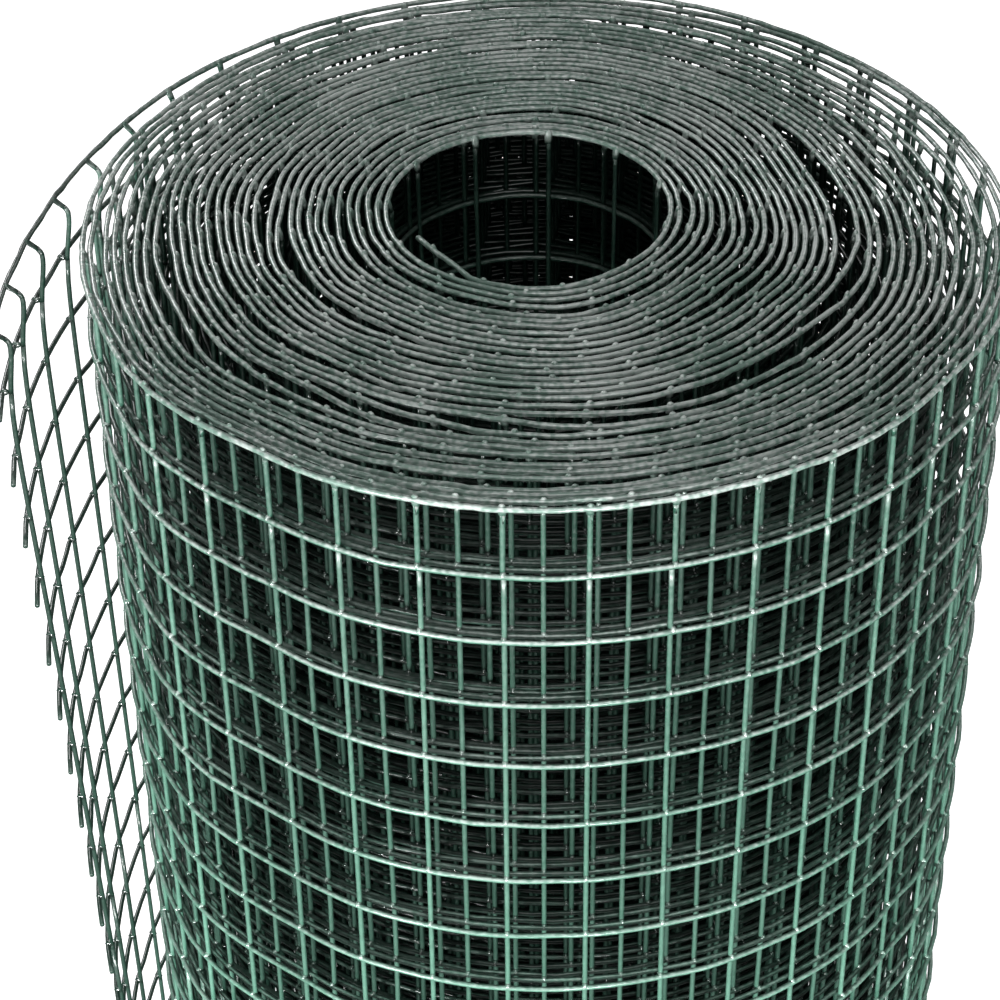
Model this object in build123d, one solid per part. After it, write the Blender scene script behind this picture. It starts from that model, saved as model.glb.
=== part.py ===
from build123d import *
import math
import os

# Roll of welded wire mesh fencing, standing on its end.
# One strip of square mesh is wound from the bore outwards, counter-clockwise seen from above,
# and its outer end springs off the roll on the left (-X) side.
# Frame: origin on the axis of the bore, at the bottom end. +Z runs up the roll, -Y is its front.
# All lengths are in millimetres.

# Mesh
mesh_pitch = 25.4  # one inch squares
cells_high = 39  # a roll one metre high
coated_wire = 1.7  # steel wire with its coat
weld_depth = 0.3  # how far two crossing wires sink into each other
cut_end = 2.2  # upright wires pass the edge wire's centre line by this much

# Roll
bore_radius = 43.0
roll_radius = 154.0
roll_centre = (5.0, -9.0)  # the bore lies off the middle, because the far side is wound tighter
turn_groups = (5, 7, 6, 7, 6)  # turns wound tight on each other, from the bore outwards, 31 in all
loose_extra = 0.8  # the turns of the last group lie this much further apart
slack = 0.4  # least gap between two groups

# End faces: each turn is a sharp ridge, and a crescent slot parts each group from the next
ridge_drop = 0.3  # ridges end this far below the two rims
groove_depth = 3.0
slot_depth = 12.0
underside_step = 8  # the underside shows one wide ridge for each group, which keeps the model light

# Loose outer lap, from where it parts from the roll at the back to its free end at the front left.
# It lies close to the roll below and springs further off it towards the top.
lap_start_angle = 80.0  # degrees about the roll's centre, from +X
lap_start_radius = 151.5
lap_wound_radius = 158.5
lap_wound_arc = 71.0  # degrees that still follow the roll
lap_free_length = 144.0
lap_free_radius_below = 158.0
lap_free_radius_top = 285.0
lap_spring_height = 360.0  # the lap starts to lean outwards here

# Worked out from the above
sheet_thickness = 2 * coated_wire - weld_depth
height = cells_high * mesh_pitch + 2 * cut_end
drift = math.hypot(*roll_centre) / (len(turn_groups) - 1)  # shift of the centre from group to group
turn_pitch = (
    roll_radius
    - bore_radius
    - (len(turn_groups) - 1) * (drift + slack)
    - turn_groups[-1] * loose_extra
) / sum(turn_groups)


def group_limits():
    """Inner radius, outer radius, centre and turns of each group."""
    limits = []
    inner = bore_radius
    for number, count in enumerate(turn_groups):
        share = number / (len(turn_groups) - 1)
        loose = loose_extra if share == 1 else 0
        outer = inner + count * (turn_pitch + loose)
        limits.append((inner, outer, (roll_centre[0] * share, roll_centre[1] * share), count))
        inner = outer + drift + slack
    return limits


def cylinder(radius, length, centre, base=0.0):
    """Upright cylinder standing on the height named base."""
    return Pos(*centre, base) * Cylinder(radius, length, align=(Align.CENTER, Align.CENTER, Align.MIN))


def ridge_cutter(inner, outer, centre, ridges):
    """Turned cutter that leaves a comb of sharp ridges in a top face, one for each turn."""
    pitch = (outer - inner) / ridges
    crest = height - ridge_drop
    valley = crest - groove_depth
    outline = [(outer, height + 1), (inner, height + 1), (inner, valley)]
    for number in range(ridges):
        outline.append((inner + (number + 0.5) * pitch, crest))
        outline.append((inner + (number + 1) * pitch, valley))
    section = Plane.XZ * make_face(Polyline(*outline, close=True))
    return Pos(*centre, 0) * revolve(section, Axis.Z)


def slot_cutter(inside, outside, depth):
    """Crescent between the outer circle of one group and the inner circle of the next."""
    core = cylinder(inside[1], depth + 2, inside[2], height - depth - 1)
    return cylinder(outside[0], depth + 1, outside[2], height - depth) - core


def end_cutters(slot, step):
    """Everything cut from one end: ridges for every step-th turn, and the slots between groups."""
    limits = group_limits()
    rim = sheet_thickness / 2
    cutters = []
    for inner, outer, centre, count in limits:
        start = inner + rim if inner == bore_radius else inner
        stop = outer - rim if outer == limits[-1][1] else outer
        cutters.append(ridge_cutter(start, stop, centre, math.ceil(count / step)))
    for inside, outside in zip(limits, limits[1:]):
        cutters.append(slot_cutter(inside, outside, slot))
    return cutters


def wound_body():
    """The turned body with its bore and the turns on its two ends."""
    body = cylinder(roll_radius, height, roll_centre) - cylinder(bore_radius, height, (0, 0))
    middle = Plane.XY.offset(height / 2)
    below = [mirror(cutter, about=middle) for cutter in end_cutters(groove_depth + ridge_drop, underside_step)]
    return body - end_cutters(slot_depth, 1) - below


def lap_edge(free_radius, offset):
    """One side of the lap in plan: an arc that creeps out of the roll, then a freer one.

    offset moves the line outwards from the middle of the sheet.
    """
    angle = math.radians(lap_start_angle)
    out = (math.cos(angle), math.sin(angle))
    start = (
        roll_centre[0] + (lap_start_radius + offset) * out[0],
        roll_centre[1] + (lap_start_radius + offset) * out[1],
    )
    wound = JernArc(start, (-out[1], out[0]), lap_wound_radius + offset, lap_wound_arc)
    free_arc = math.degrees(lap_free_length / free_radius)
    free = JernArc(wound @ 1, wound % 1, free_radius + offset, free_arc)
    return wound, free


def lap_section(outer, inner, level):
    """Plan of one stretch of the lap at one height, between its outer and its inner side."""
    root = Line(inner @ 0, outer @ 0)
    tip = Line(outer @ 1, inner @ 1)
    return Pos(0, 0, level) * make_face([root, outer, tip, inner])


def loose_lap():
    """The loose lap: its wound stretch is upright, and its free stretch flares out towards the top."""
    outer_wound, outer_below = lap_edge(lap_free_radius_below, sheet_thickness / 2)
    inner_wound, inner_below = lap_edge(lap_free_radius_below, -sheet_thickness / 2)
    _, outer_top = lap_edge(lap_free_radius_top, sheet_thickness / 2)
    _, inner_top = lap_edge(lap_free_radius_top, -sheet_thickness / 2)
    wound = extrude(lap_section(outer_wound, inner_wound, 0), amount=height, dir=(0, 0, 1))
    below = extrude(lap_section(outer_below, inner_below, 0), amount=lap_spring_height, dir=(0, 0, 1))
    flare = loft(
        [
            lap_section(outer_below, inner_below, lap_spring_height),
            lap_section(outer_top, inner_top, height),
        ],
        ruled=True,
    )
    return wound + below + flare


def mesh_roll():
    """The whole strip as one piece."""
    return wound_body() + loose_lap()


roll = mesh_roll()
roll.label = "mesh_roll"

os.makedirs("parts", exist_ok=True)
export_step(roll, "parts/mesh_roll.step")
print("groups", [(round(inner, 1), round(outer, 1)) for inner, outer, _, _ in group_limits()])
print("volume", round(roll.volume), "box", roll.bounding_box())
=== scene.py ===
import math

import bpy
import numpy as np
from mathutils import Matrix


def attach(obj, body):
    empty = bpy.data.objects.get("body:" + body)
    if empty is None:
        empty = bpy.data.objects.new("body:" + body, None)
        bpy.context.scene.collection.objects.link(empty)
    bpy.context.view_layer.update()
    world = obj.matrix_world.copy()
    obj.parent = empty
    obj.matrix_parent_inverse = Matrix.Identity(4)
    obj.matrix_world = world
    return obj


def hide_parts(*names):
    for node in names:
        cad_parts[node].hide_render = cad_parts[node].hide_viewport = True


# Roll of welded wire mesh fencing, standing on its end: the visual model over the CAD frame.
# The whole mesh is drawn on one strip: a length along the strip, a height up the roll and a distance
# out of the middle of the strip give a point in space. Lengths are millimetres until a mesh is made.

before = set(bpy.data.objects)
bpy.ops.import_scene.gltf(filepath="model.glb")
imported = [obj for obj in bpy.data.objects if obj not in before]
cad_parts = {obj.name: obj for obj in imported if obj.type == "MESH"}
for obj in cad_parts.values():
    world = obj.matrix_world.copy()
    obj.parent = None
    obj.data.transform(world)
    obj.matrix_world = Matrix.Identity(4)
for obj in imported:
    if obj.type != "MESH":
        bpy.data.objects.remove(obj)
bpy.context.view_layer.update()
MM = 0.001

# Mesh: its squares and its height are the part's, and its wires are a little thicker than there
PITCH = 25.4
CELLS_HIGH = 39
TOP_ROW = CELLS_HIGH  # rows of line wires are counted from the edge wire at the foot
SHOWN_ROW = 28  # from here up the rows show in the photo, and get the finer wires
WIRE_RADIUS = 0.88  # with its coat
EDGE_RADIUS = 0.95  # the top edge wire has the thickest and roughest coat
WELD_DEPTH = 0.4  # how far two crossing wires sink into each other
CUT_END = 2.2  # the part's upright wires pass the edge wires' centre lines by this much
HEIGHT = CELLS_HIGH * PITCH + 2 * CUT_END
SHEET_THICKNESS = 4 * WIRE_RADIUS - WELD_DEPTH
LINE_OUT = SHEET_THICKNESS / 2 - WIRE_RADIUS  # line wires run on the outer side of the strip
CROSS_OUT = -LINE_OUT  # upright wires stand on its inner side
row_height = CUT_END + PITCH * np.arange(CELLS_HIGH + 1)
TOP_EDGE = row_height[-1]

# Roll. Turns are counted at the back, where their numbers are whole.
BORE_RADIUS = 43.0
ROLL_CENTRE = (5.0, -9.0)
ROLL_RADIUS = 150.1  # middle of the strip in the outermost turn
FIRST_TURN = -0.5
LAST_TURN = 31.0
INNER_END_ANGLE = 245.0  # the inner end leaves the bore here, in degrees, and runs straight to its tip
INNER_END_TIP = (-36.1, -16.5)
INNER_END_POINTS = 16

# Loose lap: it starts at an angle in degrees and a radius about the roll's centre, follows the roll for
# a while on a wider arc, and then runs free, on one arc below and on a flatter one at the top
LAP_ANGLE = 80.0
LAP_RADIUS = 151.5
LAP_WOUND_RADIUS = 158.5
LAP_WOUND_ARC = 71.0
LAP_FREE_LENGTH = 148.3
LAP_FREE_RADIUS_BELOW = 158.0
LAP_FREE_RADIUS_TOP = 260.0
LAP_SPRING_HEIGHT = 360.0  # it leans outwards from here up
LAP_BLEND = 40.0  # degrees over which the last wound turn comes to the lap's start
LAP_STUB = 14.5  # line wires pass the last upright wire by this much
LAP_SLACK = 2.3  # upright wires of the last turn are spread by this much in all
SLACK_CROSSINGS = (4, 27)  # between these of them, counted back from the free end
LAP_START = (
    ROLL_CENTRE[0] + LAP_RADIUS * math.cos(math.radians(LAP_ANGLE)),
    ROLL_CENTRE[1] + LAP_RADIUS * math.sin(math.radians(LAP_ANGLE)),
)

# Steps of the strip's path
WOUND_STEP = 0.7  # degrees from point to point of the wound turns
PATH_STEP = 1.5  # millimetres from point to point of the even path
CORNER_WINDOW = 7  # corners are rounded over this many points

# Where the outermost turn bulges off a circle: degrees about the bore, millimetres, spread in degrees
BULGES = ((180, 3.6, 24), (218, 1.6, 8), (236, -1.6, 7), (285, -1.2, 16), (322, -1.4, 6), (350, 1.6, 22))

# Crescent gaps between turns: degrees about the bore, radius in the photo in cells, width in millimetres,
# spread in degrees. One row of them steps inwards as it runs round the front.
STEPPED_GAPS = 14
STEPPED_REACH = (192, 378)
STEPPED_ANGLES = (192, 210, 228, 254, 273, 327, 346, 374)
STEPPED_RADII = (4.82, 5.0, 4.78, 4.74, 4.52, 4.42, 4.18, 4.05)
STEPPED_WIDTH = 3.3
STEPPED_SPREAD = 11
SINGLE_GAPS = (
    (176, 3.42, 3.0, 14),
    (200, 3.27, 3.2, 13),
    (226, 3.33, 2.6, 13),
    (262, 5.62, 1.6, 15),
    (183, 5.85, 2.0, 16),
    (190, 5.55, 1.9, 16),
    (5, 5.25, 2.0, 22),
    (2, 5.45, 2.2, 24),
    (8, 5.68, 2.4, 26),
    (40, 5.6, 2.2, 24),
    (35, 5.35, 2.0, 22),
    (60, 5.45, 1.6, 20),
    (250, 2.2, 1.4, 18),
    (280, 1.75, 2.0, 22),
    (272, 2.7, 1.2, 16),
)
RANDOM_GAPS = 90
RANDOM_SHARES = (0.03, 0.97)  # of the way from the bore to the outermost turn
RANDOM_WIDTHS = (0.3, 1.2)
RANDOM_SPREADS = (8, 30)
BORE_CELLS = 1.8  # radius at the bore
WOUND_CELLS = 4.0  # and from there to the outermost turn
GAP_OPENING = 0.3  # a gap opens over this share of a turn before and after its middle

rng = np.random.default_rng(11)

stepped_angle = np.linspace(*STEPPED_REACH, STEPPED_GAPS)
stepped_radius = np.interp(stepped_angle, STEPPED_ANGLES, STEPPED_RADII)
GAPS = [
    (angle, radius, STEPPED_WIDTH, STEPPED_SPREAD) for angle, radius in zip(stepped_angle, stepped_radius)
]
GAPS += SINGLE_GAPS
for middle, share, width, spread in zip(
    rng.uniform(0, 360, RANDOM_GAPS),
    rng.uniform(*RANDOM_SHARES, RANDOM_GAPS),
    rng.uniform(*RANDOM_WIDTHS, RANDOM_GAPS),
    rng.uniform(*RANDOM_SPREADS, RANDOM_GAPS),
):
    GAPS.append((middle, BORE_CELLS + WOUND_CELLS * share, width, spread))


# The path of the strip in plan


def smooth(value, low, high):
    """Rises from 0 at low to 1 at high: 3 v^2 - 2 v^3 of the share v in between."""
    share = np.clip((value - low) / (high - low), 0, 1)
    return share * share * (3 - 2 * share)


def bump(angle, middle, spread):
    """Bell over an angle in degrees: exp of minus the square of the turn from the middle over the spread."""
    turn = (angle - middle + 180) % 360 - 180
    return np.exp(-((turn / spread) ** 2))


def outer_radius(angle):
    """Distance of the outermost turn from the bore's axis.

    It is the distance to a circle about the roll's own centre, plus the bells of the bulges.
    """
    along = ROLL_CENTRE[0] * np.cos(np.radians(angle)) + ROLL_CENTRE[1] * np.sin(np.radians(angle))
    off = ROLL_CENTRE[0] ** 2 + ROLL_CENTRE[1] ** 2 - along**2
    circle = along + np.sqrt(ROLL_RADIUS**2 - off)
    return circle + sum(size * bump(angle, middle, spread) for middle, size, spread in BULGES)


def wound_radius(angle):
    """Distance of the strip from the bore's axis where it is wound, for an angle that counts all turns.

    The turns share the way from the bore to the outermost turn evenly, but for the gaps: each gap
    pushes the turns outside it out over its own spread, and squeezes all turns a little to make room.
    """
    turn = (angle - 90) / 360
    inner = BORE_RADIUS + SHEET_THICKNESS / 2
    room = outer_radius(angle) - inner
    share = np.clip((turn - FIRST_TURN) / (LAST_TURN - FIRST_TURN), 0, 1)
    opened = 0
    squeezed = 0
    for middle, radius, width, spread in GAPS:
        guess = FIRST_TURN + (LAST_TURN - FIRST_TURN) * (radius * PITCH - inner) / (
            outer_radius(middle) - inner
        )
        phase = (middle - 90) / 360 % 1
        parting = math.floor(guess - phase) + phase + 0.5
        here = width * bump(angle, middle, spread)
        opened = opened + here * smooth(turn, parting - GAP_OPENING, parting + GAP_OPENING)
        squeezed = squeezed + here
    return inner + (room - squeezed) * share + opened


def arc(start, heading, radius, turned):
    """Arc that bends left from a place and a heading, at each of the angles turned."""
    x = start[0] + radius * (np.sin(heading + turned) - math.sin(heading))
    y = start[1] - radius * (np.cos(heading + turned) - math.cos(heading))
    return x, y


def lap_points(free_radius):
    """Middle of the loose lap in plan: an arc that creeps out of the roll, then a freer arc."""
    heading = math.radians(LAP_ANGLE) + math.pi / 2
    wound_arc = math.radians(LAP_WOUND_ARC)
    wound = np.arange(0, wound_arc * LAP_WOUND_RADIUS, PATH_STEP)
    free = np.append(np.arange(0, LAP_FREE_LENGTH, PATH_STEP), LAP_FREE_LENGTH)
    wound_x, wound_y = arc(LAP_START, heading, LAP_WOUND_RADIUS, wound / LAP_WOUND_RADIUS)
    parting = arc(LAP_START, heading, LAP_WOUND_RADIUS, wound_arc)
    free_x, free_y = arc(parting, heading + wound_arc, free_radius, free / free_radius)
    return np.append(wound_x, free_x), np.append(wound_y, free_y)


def strip_path(free_radius):
    """The whole strip in plan: the straight inner end, the wound turns and the loose lap."""
    last = math.degrees(math.atan2(LAP_START[1], LAP_START[0])) + 360 * round(LAST_TURN)
    angle = np.arange(INNER_END_ANGLE - 360, last, WOUND_STEP)
    radius = wound_radius(angle)
    radius = radius + (math.hypot(*LAP_START) - radius[-1]) * smooth(angle, last - LAP_BLEND, last)
    x = radius * np.cos(np.radians(angle))
    y = radius * np.sin(np.radians(angle))
    share = np.linspace(0, 1, INNER_END_POINTS, endpoint=False)
    head_x = INNER_END_TIP[0] + (x[0] - INNER_END_TIP[0]) * share
    head_y = INNER_END_TIP[1] + (y[0] - INNER_END_TIP[1]) * share
    tail_x, tail_y = lap_points(free_radius)
    return np.concatenate([head_x, x, tail_x]), np.concatenate([head_y, y, tail_y])


def even_path(free_radius):
    """The strip in plan at even steps of length, with its corners rounded over a few millimetres."""
    x, y = strip_path(free_radius)
    length = np.append(0, np.cumsum(np.hypot(np.diff(x), np.diff(y))))
    even = np.linspace(0, length[-1], int(length[-1] / PATH_STEP))
    x = np.interp(even, length, x)
    y = np.interp(even, length, y)
    kernel = np.hanning(CORNER_WINDOW)
    kernel = kernel / kernel.sum()
    rim = CORNER_WINDOW // 2
    x[rim:-rim] = np.convolve(x, kernel, "valid")
    y[rim:-rim] = np.convolve(y, kernel, "valid")
    return even, x, y


PATH_TOP = even_path(LAP_FREE_RADIUS_TOP)
PATH_BELOW = even_path(LAP_FREE_RADIUS_BELOW)
STRIP_LENGTH = PATH_TOP[0][-1]

# Places of the upright wires along the strip, counted back from the free end
FIRST_PLACE = 1.5  # none stands nearer the inner end than this
LAST_CROSSING = STRIP_LENGTH - LAP_STUB
back = np.arange(int(LAST_CROSSING / PITCH) + 1)[::-1]
crossing = LAST_CROSSING - PITCH * back - LAP_SLACK * smooth(back, *SLACK_CROSSINGS)
crossing = crossing[crossing > FIRST_PLACE]


# Small faults of the winding

SAG_STEP = 140  # the strip sags by a random drift with knots this far apart
SAG_SIZE = 0.45
MOST_SAG = 1.3
LAP_ONSET = (-40, 20)  # the lap's faults grow over these lengths about the start of its free stretch
LAP_CREEP = 2.5  # there the mesh has crept up towards the top edge wire by this much
CREEP_DEPTH = 8  # from this far below it
HOOK_DEPTH = 3.8  # and its upright wires are bent in by this much
HOOK_DROP = 8.0  # this far below it
WOBBLE = 0.36  # size of each of the waves in which the wound turns stand in and out
WAVES = ((31, 23, 0), (47, -35, 2), (71, 57, 4))  # millimetres along and up for a radian, and a start
WOBBLE_STOP = (1400, 1250)  # the waves fade between these lengths before the free end
WOBBLE_TOP = (12, 60)  # and between these depths below the top edge wire

knots = np.arange(0, STRIP_LENGTH + 2 * SAG_STEP, SAG_STEP)
drift = np.interp(np.arange(0, STRIP_LENGTH, 1.0), knots, rng.normal(0, SAG_SIZE, len(knots)))
sag = np.clip(np.abs(drift), 0, MOST_SAG)  # at each millimetre of the strip


def lap_share(length):
    """0 on the wound turns, 1 on the free stretch of the lap."""
    free = STRIP_LENGTH - LAP_FREE_LENGTH
    return smooth(length, free + LAP_ONSET[0], free + LAP_ONSET[1])


def settle(length, height):
    """Height after the strip has settled.

    It is the height less the sag times the share of the height, and plus the creep of the lap.
    """
    drop = np.interp(length, np.arange(len(sag)), sag)
    crept = LAP_CREEP * lap_share(length) * smooth(TOP_EDGE - height, 0, CREEP_DEPTH)
    return height - drop * height / HEIGHT + crept


def upright_out(length, height):
    """Distance of the upright wires out of the strip: on the lap they are bent in below the top edge wire.

    The bend is u exp(1 - u) of the depth u below the edge wire over the drop, which is 1 at the drop.
    """
    under = np.clip(TOP_EDGE - height, 0, None) / HOOK_DROP
    return CROSS_OUT - HOOK_DEPTH * lap_share(length) * under * np.exp(1 - under)


def wobble(length, height):
    """Slow bulges of the wound strip in and out: three waves that cross each other.

    Each is the sine of a share of the length plus a share of the height. They fade towards the top edge
    and are gone on the outermost turn.
    """
    waves = sum(np.sin(length / along + height / up + start) for along, up, start in WAVES)
    wound = 1 - smooth(length, STRIP_LENGTH - WOBBLE_STOP[0], STRIP_LENGTH - WOBBLE_STOP[1])
    return WOBBLE * waves * smooth(TOP_EDGE - height, *WOBBLE_TOP) * wound


def plan(length, path):
    """Place and outward direction in plan on one of the two paths."""
    x = np.interp(length, path[0], path[1])
    y = np.interp(length, path[0], path[2])
    ahead_x = np.interp(length + 1, path[0], path[1]) - np.interp(length - 1, path[0], path[1])
    ahead_y = np.interp(length + 1, path[0], path[2]) - np.interp(length - 1, path[0], path[2])
    norm = np.hypot(ahead_x, ahead_y)
    return x, y, ahead_y / norm, -ahead_x / norm


def on_strip(length, height, out):
    """Point of the strip, with its outward direction and its direction of winding.

    The two paths, below and at the top, are mixed in proportion to the height above the spring height.
    """
    length, height, out = np.broadcast_arrays(length, height, out)
    out = out + wobble(length, height)
    lean = np.clip((height - LAP_SPRING_HEIGHT) / (HEIGHT - LAP_SPRING_HEIGHT), 0, 1)
    x0, y0, nx0, ny0 = plan(length, PATH_BELOW)
    x1, y1, nx1, ny1 = plan(length, PATH_TOP)
    nx = nx0 + (nx1 - nx0) * lean
    ny = ny0 + (ny1 - ny0) * lean
    norm = np.hypot(nx, ny)
    nx, ny = nx / norm, ny / norm
    x = x0 + (x1 - x0) * lean + out * nx
    y = y0 + (y1 - y0) * lean + out * ny
    flat = np.zeros_like(nx)
    outward = np.stack([nx, ny, flat], -1)
    along = np.stack([-ny, nx, flat], -1)
    return np.stack([x, y, height], -1), outward, along


# Painted light and shade, and dust, as two numbers at each point of the mesh

SHADE_DEPTH_SIDE = 7.0  # painted light falls to a third over this depth from the outermost turn, as painted shade deeper inside
SHADE_DEPTH_TOP = 0.8  # and over this one from the top edge
LIT_EDGE = TOP_EDGE - 0.4  # the light from above reaches down to here at full strength
BORE_PAINTED_LIGHT = 0.24  # share of the painted light that reaches the wall of the bore, near its top
BORE_WALL = 2.0  # thickness of that wall, and the depth behind it over which its painted light falls to a third
BORE_LIT = 150.0  # depth below the top where it has gone
LAP_DIMMING = 0.85  # the loose lap gets only a small share of the painted light and of the dust, so it stays near the near-black green
LAP_AWAY = (3, 12)  # more and more of it from this to that far outside the roll
DUSTY_HEIGHTS = (-2.5, -0.8)  # the dusty edge begins and is whole at these heights above the lit edge
DUSTY_SIDES = (-5, -1)  # and at these depths inside the roll


def painted_light_and_dust(points):
    """How much painted light the coat gets, and where it is the dusty top edge, both from 0 to 1.

    The first is exp of minus the depth inside the roll, measured out to the top edge or to the outermost
    turn, whichever is nearer: painted shade that darkens the coat deeper inside. The wall of the bore gets
    a little painted light too, near its top, and the loose lap gets little painted light and little dust.
    """
    from_side = ROLL_RADIUS - np.hypot(points[:, 0] - ROLL_CENTRE[0], points[:, 1] - ROLL_CENTRE[1])
    from_top = LIT_EDGE - points[:, 2]
    # painted shade: the deeper inside the roll, the darker the coat
    depth = np.minimum(from_side / SHADE_DEPTH_SIDE, from_top / SHADE_DEPTH_TOP)
    behind_bore = np.clip(np.hypot(points[:, 0], points[:, 1]) - BORE_RADIUS - BORE_WALL, 0, None)
    # painted light on the wall of the bore near its top
    bore = BORE_PAINTED_LIGHT * np.exp(-behind_bore / BORE_WALL) * smooth(-from_top, -BORE_LIT, 0)
    # the loose lap gets little painted light and little dust
    lap_factor = 1 - LAP_DIMMING * smooth(-from_side, *LAP_AWAY)
    edge = smooth(-from_top, *DUSTY_HEIGHTS) * smooth(from_side, *DUSTY_SIDES)
    return np.maximum(np.exp(-np.clip(depth, 0, None)), bore) * lap_factor, edge * lap_factor


# Meshes


def mesh_object(name, points, quads, triangles, material):
    """Object at the origin from arrays of points in millimetres, four-cornered and three-cornered faces."""
    corners = np.concatenate([quads.ravel(), triangles.ravel()]).astype(np.int32)
    starts = np.concatenate([4 * np.arange(len(quads)), 4 * len(quads) + 3 * np.arange(len(triangles))])
    mesh = bpy.data.meshes.new(name)
    mesh.vertices.add(len(points))
    mesh.vertices.foreach_set("co", (points * MM).astype(np.float32).ravel())
    mesh.loops.add(len(corners))
    mesh.loops.foreach_set("vertex_index", corners)
    mesh.polygons.add(len(starts))
    mesh.polygons.foreach_set("loop_start", starts.astype(np.int32))
    mesh.polygons.foreach_set("use_smooth", np.ones(len(starts), bool))
    # each point keeps its share of painted light and how much it is the dusty top edge
    for label, value in zip(("painted_light", "edge"), painted_light_and_dust(points)):
        mesh.attributes.new(label, "FLOAT", "POINT").data.foreach_set("value", value.astype(np.float32))
    mesh.update(calc_edges=True)
    mesh.materials.append(material)
    thing = bpy.data.objects.new(name, mesh)
    bpy.context.collection.objects.link(thing)
    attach(thing, "root")
    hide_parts("mesh_roll")
    return thing


def closed(around, first_poles, final_poles):
    """Skin over rows of rings, an array of (rows, rings, sides, 3), with a fan on a pole at both ends."""
    rows, _, sides, _ = around.shape
    body = around.reshape(-1, 3)
    index = np.arange(len(body)).reshape(around.shape[:3])
    after = np.roll(index, -1, 2)
    quads = np.stack([index[:, :-1], after[:, :-1], after[:, 1:], index[:, 1:]], -1).reshape(-1, 4)
    first = np.broadcast_to(len(body) + np.arange(rows)[:, None], (rows, sides))
    final = first + rows
    first_fans = np.stack([first, after[:, 0], index[:, 0]], -1).reshape(-1, 3)
    final_fans = np.stack([final, index[:, -1], after[:, -1]], -1).reshape(-1, 3)
    return np.concatenate([body, first_poles, final_poles]), quads, np.concatenate([first_fans, final_fans])


def tubes(centre, side, up, girth, sides):
    """Round wires along many centre lines at once.

    centre, side and up are (wires, rings, 3). Each ring is centre + girth (cos a side + sin a up), so
    side x up has to point along the wire. Both ends are closed by a fan on the last ring's centre.
    """
    angle = 2 * np.pi * np.arange(sides) / sides
    girth = np.broadcast_to(girth, centre.shape[:2])[:, :, None, None]
    ring = np.cos(angle)[:, None] * side[:, :, None, :] + np.sin(angle)[:, None] * up[:, :, None, :]
    return closed(centre[:, :, None, :] + girth * ring, centre[:, 0], centre[:, -1])


def joined(parts):
    """Several (points, quads, triangles) as one."""
    points = np.concatenate([part[0] for part in parts])
    shifts = np.cumsum([0] + [len(part[0]) for part in parts])
    quads = np.concatenate([part[1] + shift for part, shift in zip(parts, shifts)])
    triangles = np.concatenate([part[2] + shift for part, shift in zip(parts, shifts)])
    return points, quads, triangles


BOW_MIDDLE = 0.25  # wires bow a little more outwards than inwards
BOW_SPREAD = 0.5
INWARD_BEFORE = 210  # from this far before the free stretch they only bow inwards
LUMP_SHIFT = 0.6  # a lump also moves the wire in or out


def line_wires(rows, start, stop, per_cell, sides, wave, girth=WIRE_RADIUS, lumps=0.0):
    """Wires along the strip from one length to another, one for each row, with per_cell rings to a cell.

    Between two upright wires each one leaves its row by sin^2 of pi times the share of the cell, outwards
    and upwards, each times wave and a random number. Lumps are the share by which its coat varies.
    """
    rows = np.asarray(rows)
    tall = len(rows)
    cells = max(1, round((stop - start) / PITCH))
    along = np.linspace(start, stop, cells * per_cell + 1)
    phase = (along - LAST_CROSSING) / PITCH
    bow = np.sin(np.pi * phase) ** 2
    cell = np.floor(phase - phase.min()).astype(int)
    bow_size = rng.normal(BOW_MIDDLE, BOW_SPREAD, (tall, cell.max() + 2))[:, cell] * wave
    rise_size = rng.normal(0, BOW_SPREAD, (tall, cell.max() + 2))[:, cell] * wave
    on_lap = along > STRIP_LENGTH - LAP_FREE_LENGTH - INWARD_BEFORE
    out = LINE_OUT + bow * np.where(on_lap, -np.abs(bow_size), bow_size)
    height = settle(along[None, :], row_height[rows][:, None] + bow * rise_size)
    centre, outward, _ = on_strip(along[None, :], height, out)
    up = np.broadcast_to((0.0, 0.0, 1.0), outward.shape)
    centre = centre + outward * rng.normal(0, LUMP_SHIFT * lumps, (tall, len(along), 1))
    girth = girth * (1 + rng.uniform(-lumps, lumps, (tall, len(along))))
    return tubes(centre, outward, -up, girth, sides)


# Cut ends of the upright wires: height of each ring beyond the edge wire's centre and its girth. At the top
# they are dipped in the coat, lean towards the edge wire, which the coat joins them to, and are wider
# along the edge wire than across it.
TIP_RISE = np.array((-3.0, -0.8, 0.2, 1.0, 1.45))
TIP_GIRTH = np.array((0.8, 0.9, 0.9, 0.68, 0.28))
TIP_LEAN = np.array((0.0, 0.5, 0.75, 0.8, 0.75))
TIP_STRETCH = 1.5
FOOT_RISE = np.array((-3.0, 0.4, 1.3, 1.9, CUT_END))
FOOT_GIRTH = np.array((0.86, 0.98, 0.86, 0.6, 0.3))
INSIDE_TIP = np.array((-3.0, 0.1))  # an upright wire's last two rings, from the lowest ring of its tip


def cross_heights(low, high, per_cell):
    """Ring heights of an upright wire between two rows. At the top edge it stops inside its dipped tip."""
    height = np.linspace(row_height[low], row_height[high], int((high - low) * per_cell) + 1)
    if high < TOP_ROW:
        return height
    return np.concatenate([height[:-1], height[-1] + TIP_RISE[0] + INSIDE_TIP])


def cross_wires(which, low, high, per_cell, sides, lean):
    """Upright wires between two rows, at the crossings numbered which, with per_cell rings to a cell.

    Lean is how far their ends stand to one side, as a random number's spread in millimetres.
    """
    height = cross_heights(low, high, per_cell)
    place = crossing[which][:, None] + rng.normal(0, lean, (len(which), 1)) * np.linspace(-1, 1, len(height))
    out = upright_out(place, height[None, :])
    centre, outward, ahead = on_strip(place, settle(place, height[None, :]), out)
    return tubes(centre, outward, ahead, WIRE_RADIUS, sides)


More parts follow.
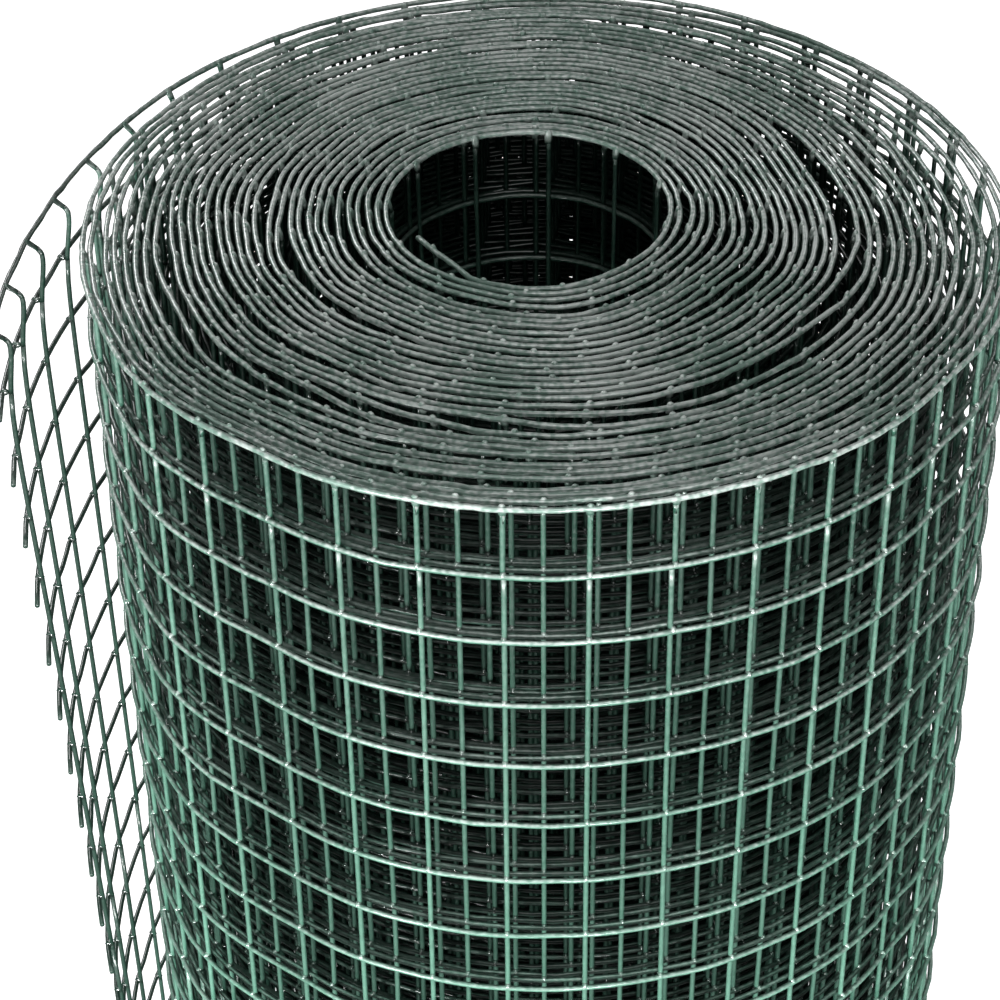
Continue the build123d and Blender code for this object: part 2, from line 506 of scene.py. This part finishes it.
def cut_tips(row, direction, steps, girth, lean, stretch, sides):
    """Cut ends of all the upright wires beyond one edge wire, narrowing to a blunt point."""
    rise = steps * direction
    place = np.broadcast_to(crossing[:, None], (len(crossing), len(rise)))
    height = settle(place, row_height[row] + rise[None, :])
    centre, outward, ahead = on_strip(place, height, upright_out(place, row_height[row] + rise) + lean)
    return tubes(centre, outward, ahead * direction * stretch, girth, sides)


BEAD_LEVELS = np.array((-0.75, 0.0, 0.75))  # heights of a bead's three rings, as shares of its half height
BEAD_GIRTHS = np.array((0.62, 1.0, 0.62))


def beads(which, rows, size, lift, sides):
    """Swollen coat at the crossings: small closed spheroids centred in the strip, lifted a little.

    Size is half of each one's width outwards, of its width along the strip and of its height.
    """
    place, height = np.meshgrid(crossing[which], row_height[np.asarray(rows)])
    place, height = place.ravel(), height.ravel()
    centre, outward, ahead = on_strip(place, settle(place, height) + lift, 0.0)
    angle = 2 * np.pi * np.arange(sides) / sides
    level = BEAD_LEVELS[:, None, None]
    girth = BEAD_GIRTHS[:, None, None]
    around = (
        centre[:, None, None]
        + level * size[2] * np.array((0.0, 0.0, 1.0))
        + girth * size[0] * np.cos(angle)[:, None] * outward[:, None, None]
        + girth * size[1] * np.sin(angle)[:, None] * ahead[:, None, None]
    )
    pole = np.array((0.0, 0.0, size[2]))
    return closed(around, centre - pole, centre + pole)


# Materials

# The near-black green is painted shade deeper inside the roll, the two paler greens are the mottled coat
# where the painted light reaches, and the green after them is painted light lower down.
SHADED_GREEN = "#03120c"
LIT_GREENS = ("#1e4738", "#43705f")
LOW_LIT_GREEN = "#7fbba2"
DUST_AND_TOP_LIGHT_GREY = "#b0b6b3"
UPWARD_GREY_COVER = 0.85  # share of the upward skin that the grey hides, as dust and as painted light on the upper sides
EDGE_DUST = 0.58  # and of the top edge, all round

# How many features of a pattern come to a metre
MOTTLE = 260.0  # the paler green where the painted light reaches varies over 4 mm
PATCHES = 25.0  # the dust lies in patches of 40 mm
GRAINS = 620.0  # and in specks of 1.6 mm, which is coarser than real dust, so that they show
RIPPLE = 550.0  # the coat is uneven over 1.8 mm
RIPPLE_HEIGHT = 0.0004


def linear(code):
    """Linear red, green, blue and 1 from an sRGB hex colour."""
    levels = [int(code[i : i + 2], 16) / 255 for i in (1, 3, 5)]
    return tuple(v / 12.92 if v <= 0.04045 else ((v + 0.055) / 1.055) ** 2.4 for v in levels) + (1.0,)


def add(tree, kind, sockets=None, **settings):
    """One node of a kind, with its sockets set to values or joined to other nodes' outputs."""
    node = tree.nodes.new(kind)
    for key, value in settings.items():
        setattr(node, key, value)
    for key, value in (sockets or {}).items():
        if isinstance(value, bpy.types.NodeSocket):
            tree.links.new(value, node.inputs[key])
        else:
            node.inputs[key].default_value = value
    return node


def pvc_coated_wire(name, gloss_inside, gloss_outside, coat_index):
    """Green PVC coat over steel wire, with how glossy it is deep inside the roll and where the painted light
    reaches.

    It gives the eye a glossy, slightly uneven plastic skin: near-black green deeper inside the roll, which
    is painted shade, paler where the painted light reaches, with a grey on what faces up that is partly dust
    and partly painted light on the upper sides, and crisp thin highlights.
    """
    material = bpy.data.materials.new(name)
    material.use_nodes = True
    tree = material.node_tree
    tree.nodes.clear()
    where = add(tree, "ShaderNodeTexCoord").outputs["Object"]
    painted_light = add(tree, "ShaderNodeAttribute", attribute_name="painted_light").outputs["Fac"]
    edge = add(tree, "ShaderNodeAttribute", attribute_name="edge").outputs["Fac"]
    facing = add(tree, "ShaderNodeNewGeometry").outputs["Normal"]
    upward = add(tree, "ShaderNodeSeparateXYZ", {"Vector": facing}).outputs["Z"]
    height = add(tree, "ShaderNodeSeparateXYZ", {"Vector": where}).outputs["Z"]

    # Green: near-black as painted shade deeper inside the roll, paler and mottled where the painted light
    # reaches. Below 950 mm it brightens a little, down to 740 mm above the ground, as painted light.
    mottle = add(tree, "ShaderNodeTexNoise", {"Vector": where, "Scale": MOTTLE, "Detail": 2.0})
    lit_green = add(
        tree,
        "ShaderNodeMix",
        {"Factor": mottle.outputs["Fac"], "A": linear(LIT_GREENS[0]), "B": linear(LIT_GREENS[1])},
        data_type="RGBA",
    )
    # painted light: the green brightens lower down, from 950 mm to 740 mm
    painted_light_below = add(
        tree,
        "ShaderNodeMapRange",
        {"Value": height, "From Min": 0.95, "From Max": 0.74, "To Max": 0.2},
    )
    bright = add(
        tree,
        "ShaderNodeMix",
        {"Factor": painted_light_below.outputs["Result"], "A": lit_green.outputs["Result"], "B": linear(LOW_LIT_GREEN)},
        data_type="RGBA",
    )
    # painted shade: near-black green deep inside, the paler green where the painted light reaches
    green = add(
        tree,
        "ShaderNodeMix",
        {"Factor": painted_light, "A": linear(SHADED_GREEN), "B": bright.outputs["Result"]},
        data_type="RGBA",
    )

    # Dust and painted light: a grey on what faces up, partly dust and partly painted light on the upper
    # sides, more of it near the top and only where the painted light reaches, and dust all round the top
    # edge, broken into specks
    # painted light on the upper sides, together with dust
    facing_up = add(
        tree,
        "ShaderNodeMapRange",
        {"Value": upward, "From Min": -0.1, "From Max": 0.75, "To Max": UPWARD_GREY_COVER},
    )
    nearer_top = add(
        tree,
        "ShaderNodeMapRange",
        {"Value": height, "From Min": 0.78, "From Max": 0.99, "To Min": 0.35},
    )
    # the upward grey is kept to where the painted light reaches
    lit_top = add(tree, "ShaderNodeMath", {0: nearer_top.outputs["Result"], 1: painted_light}, operation="MULTIPLY")
    upward_dust_and_light = add(
        tree,
        "ShaderNodeMath",
        {0: facing_up.outputs["Result"], 1: lit_top.outputs[0]},
        operation="MULTIPLY",
    )
    rubbed = add(tree, "ShaderNodeMath", {0: edge, 1: EDGE_DUST}, operation="MULTIPLY")
    film = add(tree, "ShaderNodeMath", {0: upward_dust_and_light.outputs[0], 1: rubbed.outputs[0]}, operation="MAXIMUM")
    patches = add(tree, "ShaderNodeTexNoise", {"Vector": where, "Scale": PATCHES, "Detail": 1.0})
    grains = add(tree, "ShaderNodeTexNoise", {"Vector": where, "Scale": GRAINS, "Detail": 0.0})
    broken = add(
        tree,
        "ShaderNodeMath",
        {0: patches.outputs["Fac"], 1: grains.outputs["Fac"]},
        operation="ADD",
    )
    spread = add(
        tree,
        "ShaderNodeMapRange",
        {"Value": broken.outputs[0], "From Min": 0.82, "From Max": 1.18, "To Min": 0.3},
    )
    dust_and_top_light = add(
        tree,
        "ShaderNodeMath",
        {0: film.outputs[0], 1: spread.outputs["Result"]},
        operation="MULTIPLY",
    )
    colour = add(
        tree,
        "ShaderNodeMix",
        {"Factor": dust_and_top_light.outputs[0], "A": green.outputs["Result"], "B": linear(DUST_AND_TOP_LIGHT_GREY)},
        data_type="RGBA",
    )

    # Skin: uneven, and glossier where the painted light reaches; less coat and less sheen deeper inside the
    # roll are painted shade on the highlights
    ripple = add(tree, "ShaderNodeTexNoise", {"Vector": where, "Scale": RIPPLE, "Detail": 0.0})
    relief = add(
        tree,
        "ShaderNodeBump",
        {"Strength": 1.0, "Distance": RIPPLE_HEIGHT, "Height": ripple.outputs["Fac"]},
    )
    gloss = add(
        tree,
        "ShaderNodeMapRange",
        {"Value": painted_light, "To Min": gloss_inside, "To Max": gloss_outside},
    )
    sheen = add(tree, "ShaderNodeMapRange", {"Value": painted_light, "To Min": 0.12, "To Max": 0.5})
    skin = add(
        tree,
        "ShaderNodeBsdfPrincipled",
        {
            "Base Color": colour.outputs["Result"],
            "Roughness": 0.45,
            "IOR": 1.53,
            "Specular IOR Level": sheen.outputs["Result"],
            "Coat Weight": gloss.outputs["Result"],
            "Coat Roughness": 0.14,
            "Coat IOR": coat_index,
            "Normal": relief.outputs["Normal"],
        },
    )
    add(tree, "ShaderNodeOutputMaterial", {"Surface": skin.outputs["BSDF"]})
    return material


def floor_paint():
    """Plain pale matt floor.

    To the camera it glows, more with the distance from the roll, so that it is white where it is lit and
    far off, where it meets the backdrop. To the mesh, which it lights from below, it is plain grey.
    """
    material = bpy.data.materials.new("pale_matt_floor")
    material.use_nodes = True
    tree = material.node_tree
    tree.nodes.clear()
    ray = add(tree, "ShaderNodeLightPath").outputs["Is Camera Ray"]
    where = add(tree, "ShaderNodeTexCoord").outputs["Object"]
    away = add(tree, "ShaderNodeVectorMath", {0: where}, operation="LENGTH").outputs["Value"]
    wash = add(
        tree,
        "ShaderNodeMapRange",
        {"Value": away, "From Min": 0.6, "From Max": 3.0, "To Min": 0.55, "To Max": 1.0},
    )
    white = add(tree, "ShaderNodeBsdfDiffuse", {"Color": linear("#ffffff")})
    glow = add(tree, "ShaderNodeEmission", {"Color": linear("#ffffff"), "Strength": wash.outputs["Result"]})
    pale = add(tree, "ShaderNodeAddShader", {0: white.outputs[0], 1: glow.outputs[0]})
    grey = add(tree, "ShaderNodeBsdfDiffuse", {"Color": linear("#8a8a8a")})
    both = add(tree, "ShaderNodeMixShader", {0: ray, 1: grey.outputs[0], 2: pale.outputs[0]})
    add(tree, "ShaderNodeOutputMaterial", {"Surface": both.outputs[0]})
    return material


# The mesh. The drops have a stronger coat than PVC's, which brings out the white sparks at the welds.

coat = pvc_coated_wire("pvc_coated_steel_wire", gloss_inside=0.4, gloss_outside=0.55, coat_index=1.5)
drops = pvc_coated_wire("pvc_drops_at_the_welds", gloss_inside=0.7, gloss_outside=1.0, coat_index=2.3)


SAME_PLACE = 0.1  # a crossing this near to a limit counts as being on it


def turns(count, radius):
    """Length of some turns of the winding at a radius."""
    return count * 2 * math.pi * radius


def cut(length):
    """The first crossing at or past a length."""
    return crossing[np.searchsorted(crossing, length)]


def between(low, high):
    """Numbers of the crossings from one length up to another."""
    return np.nonzero((crossing >= low - SAME_PLACE) & (crossing < high - SAME_PLACE))[0]


# Bands of detail, as turns and their middle radius: counted inwards from the last crossing, then inwards
# from the outer band's start, and for the core outwards from the inner end
outer_limit = crossing[-1] - turns(1.4, 150)
outer_start = cut(outer_limit)
middle_start = cut(outer_limit - turns(11, 130))
middle_start_below = cut(outer_limit - turns(3, 150))
beaded_start = cut(outer_limit - turns(6.5, 138))
core_stop = cut(turns(2.2, 47))
end = STRIP_LENGTH

shown = range(SHOWN_ROW, TOP_ROW)
hidden = range(1, SHOWN_ROW)
outer_set = between(outer_start, end + 1)
middle_set = between(middle_start, outer_start)
beaded_set = between(beaded_start, outer_start)
inner_set = between(0, middle_start)

# Line wires. Each stretch has its rows, two lengths, rings to a cell, sides and wave, and the top edge wire
# also has its own radius and its lumps.
LINE_WIRES = (
    ("edge_wire_top", [([TOP_ROW], 0, end, 7, 6, 0.35, EDGE_RADIUS, 0.1)]),
    ("edge_wire_foot", [([0], 0, end, 2, 6, 0.2)]),
    ("line_wires_outer_top", [(shown, outer_start, end, 4, 8, 0.5)]),
    ("line_wires_outer_foot", [(hidden, outer_start, end, 3, 6, 0.5)]),
    ("line_wires_middle_top", [(shown, middle_start, outer_start, 2, 6, 0.5)]),
    ("line_wires_middle_foot", [(hidden, middle_start_below, outer_start, 2, 4, 0.5)]),
    (
        "line_wires_inner_top",
        [(shown, core_stop, middle_start, 1, 5, 0.5), (shown, 0, core_stop, 4, 6, 0.3)],
    ),
    ("line_wires_inner_foot", [(hidden, 0, middle_start_below, 1, 3, 0.5)]),
)
for name, stretches in LINE_WIRES:
    mesh_object(name, *joined([line_wires(*stretch) for stretch in stretches]), coat)

# Upright wires. Each stretch has its lowest and highest row, rings to a cell, sides and lean.
UPRIGHT_WIRES = (
    (
        "upright_wires_outer",
        outer_set,
        [(TOP_ROW - 1, TOP_ROW, 12, 8, 0.1), (SHOWN_ROW, TOP_ROW - 1, 3, 8, 0.3), (0, SHOWN_ROW, 1, 8, 0.3)],
    ),
    ("upright_wires_middle", middle_set, [(SHOWN_ROW, TOP_ROW, 2, 6, 0.3), (0, SHOWN_ROW, 0.5, 4, 0.3)]),
    ("upright_wires_inner", inner_set, [(SHOWN_ROW, TOP_ROW, 1, 4, 0.3), (0, SHOWN_ROW, 0.5, 4, 0.3)]),
)
for name, which, stretches in UPRIGHT_WIRES:
    mesh_object(name, *joined([cross_wires(which, *stretch) for stretch in stretches]), coat)

# Drops of coat at the welds, left out at the top edge wire, where the tips are
OUTER_BEAD = (1.75, 1.15, 1.2)
MIDDLE_BEAD = (1.7, 1.1, 1.15)
outer_beads = [
    beads(outer_set, shown, OUTER_BEAD, lift=0.35, sides=8),
    beads(outer_set, range(SHOWN_ROW), OUTER_BEAD, lift=0.35, sides=4),
]
mesh_object("weld_beads_outer", *joined(outer_beads), drops)
mesh_object("weld_beads_middle", *beads(beaded_set, shown, MIDDLE_BEAD, lift=0.3, sides=5), drops)

tips = [
    cut_tips(TOP_ROW, 1, TIP_RISE, TIP_GIRTH, TIP_LEAN, TIP_STRETCH, sides=8),
    cut_tips(0, -1, FOOT_RISE, FOOT_GIRTH, lean=0, stretch=1, sides=5),
]
mesh_object("cut_tips", *joined(tips), coat)

# Floor

FLOOR_SIZE = 12.0
half = FLOOR_SIZE / 2
floor_mesh = bpy.data.meshes.new("floor")
floor_corners = [(-half, -half, 0), (half, -half, 0), (half, half, 0), (-half, half, 0)]
floor_mesh.from_pydata(floor_corners, [], [(0, 1, 2, 3)])
floor_mesh.materials.append(floor_paint())
floor = bpy.data.objects.new("floor", floor_mesh)
bpy.context.collection.objects.link(floor)


# Light. Each softbox has its place, the point that it looks at, its size in metres and its watts.

SOFTBOXES = (
    ("left_front_softbox", (-1.3, -2.0, 0.9), (0.0, 0.0, 0.8), 0.6, 106),
    ("right_front_softbox", (1.3, -2.0, 0.9), (0.0, 0.0, 0.8), 0.35, 16),
    ("front_softbox", (0.42, -2.3, 0.8), (0.0, 0.0, 0.75), 0.4, 66),
    ("left_back_softbox", (-0.95, 1.5, 2.0), (0.0, 0.0, 1.0), 0.6, 21),
    ("right_back_softbox", (0.95, 1.5, 2.0), (0.0, 0.0, 1.0), 0.6, 6),
    ("overhead_softbox", (0.15, -0.85, 2.6), (0.0, -0.1, 0.9), 1.0, 16),
)
STEEP = 0.9  # a lamp that looks down more steeply than this has its upper side along Y, and others along Z
ROOM_LIGHT = 0.01


def soft_light(name, place, aim, size, power):
    """Square area light that looks at a point."""
    data = bpy.data.lights.new(name, "AREA")
    data.size = size
    data.energy = power
    lamp = bpy.data.objects.new(name, data)
    bpy.context.collection.objects.link(lamp)
    back = (np.array(place) - np.array(aim)) / np.linalg.norm(np.array(place) - np.array(aim))
    right = np.cross((0.0, 1.0, 0.0) if abs(back[2]) > STEEP else (0.0, 0.0, 1.0), back)
    right = right / np.linalg.norm(right)
    rise = np.cross(back, right)
    rows = [[right[i], rise[i], back[i], place[i]] for i in range(3)]
    lamp.matrix_world = Matrix(rows + [[0, 0, 0, 1]])


for softbox in SOFTBOXES:
    soft_light(*softbox)

world = bpy.data.worlds.new("white_studio")
world.use_nodes = True
bpy.context.scene.world = world
tree = world.node_tree
tree.nodes.clear()
ray = add(tree, "ShaderNodeLightPath").outputs["Is Camera Ray"]
seen = add(tree, "ShaderNodeBackground", {"Color": linear("#ffffff"), "Strength": 1.0})
lit = add(tree, "ShaderNodeBackground", {"Color": linear("#eef2f4"), "Strength": ROOM_LIGHT})
both = add(tree, "ShaderNodeMixShader", {0: ray, 1: lit.outputs[0], 2: seen.outputs[0]})
add(tree, "ShaderNodeOutputWorld", {"Surface": both.outputs[0]})

# The camera of the photo: about a metre from the top of the roll, looking down at its front

CAMERA_PLACE = (-11.2, -791.0, 1506.9)
CAMERA_PITCH = 38.86  # degrees below the horizon
CAMERA_ROLL = -0.77
LENS = 103.07  # millimetres, for the sensor below
SENSOR = 36.0
camera_data = bpy.data.cameras.new("photo_camera")
camera_data.lens = LENS
camera_data.sensor_width = SENSOR
camera_data.clip_start = 0.05
camera_data.clip_end = 50.0
camera = bpy.data.objects.new("photo_camera", camera_data)
bpy.context.collection.objects.link(camera)
camera.location = [value * MM for value in CAMERA_PLACE]
tilt = Matrix.Rotation(math.radians(90 - CAMERA_PITCH), 3, "X")
camera.rotation_euler = (tilt @ Matrix.Rotation(math.radians(CAMERA_ROLL), 3, "Z")).to_euler()
bpy.context.scene.camera = camera
bpy.context.scene.view_settings.view_transform = "Standard"
bpy.context.scene.cycles.max_bounces = 2  # dark wires hand little light on, and the inside stays dark
bpy.context.scene.cycles.diffuse_bounces = 1
